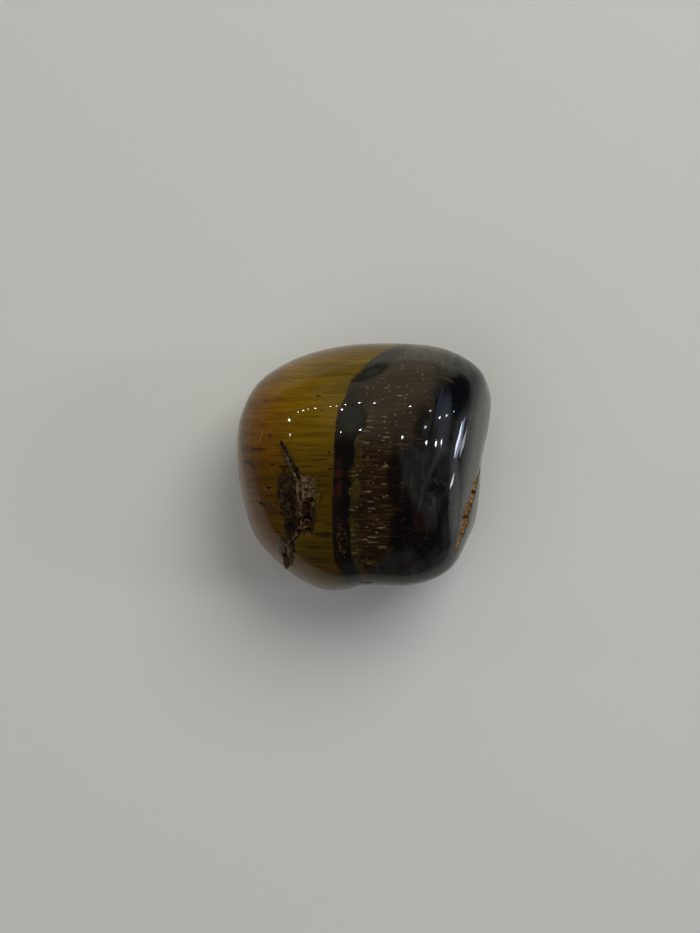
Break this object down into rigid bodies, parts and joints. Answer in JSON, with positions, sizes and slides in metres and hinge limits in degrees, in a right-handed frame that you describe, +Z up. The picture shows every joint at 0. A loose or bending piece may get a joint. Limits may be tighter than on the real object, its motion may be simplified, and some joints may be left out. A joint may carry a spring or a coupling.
{
  "type": "tumbled tiger's eye stone",
  "caption": "Polished pebble of banded tiger's eye, golden on one side and dark steel blue on the other, with a worn flat, rough breaks and a flat to rest on.",
  "frame": {"origin": "under the middle of the stone's bounding box, on the surface that it rests on", "axes": "+X across the bands from the golden side to the dark side, which is the longest extent; +Y away from the edge with the nick; +Z up, the shortest extent"},
  "size_m": [0.032, 0.0308, 0.0209],
  "materials": {
    "tigers_eye": "tumble polished, glassy, with fine silky fibres; dull and crystalline in the hollows"
  },
  "bodies": {
    "root": {"stone": "tigers_eye"}
  },
  "joints": []
}
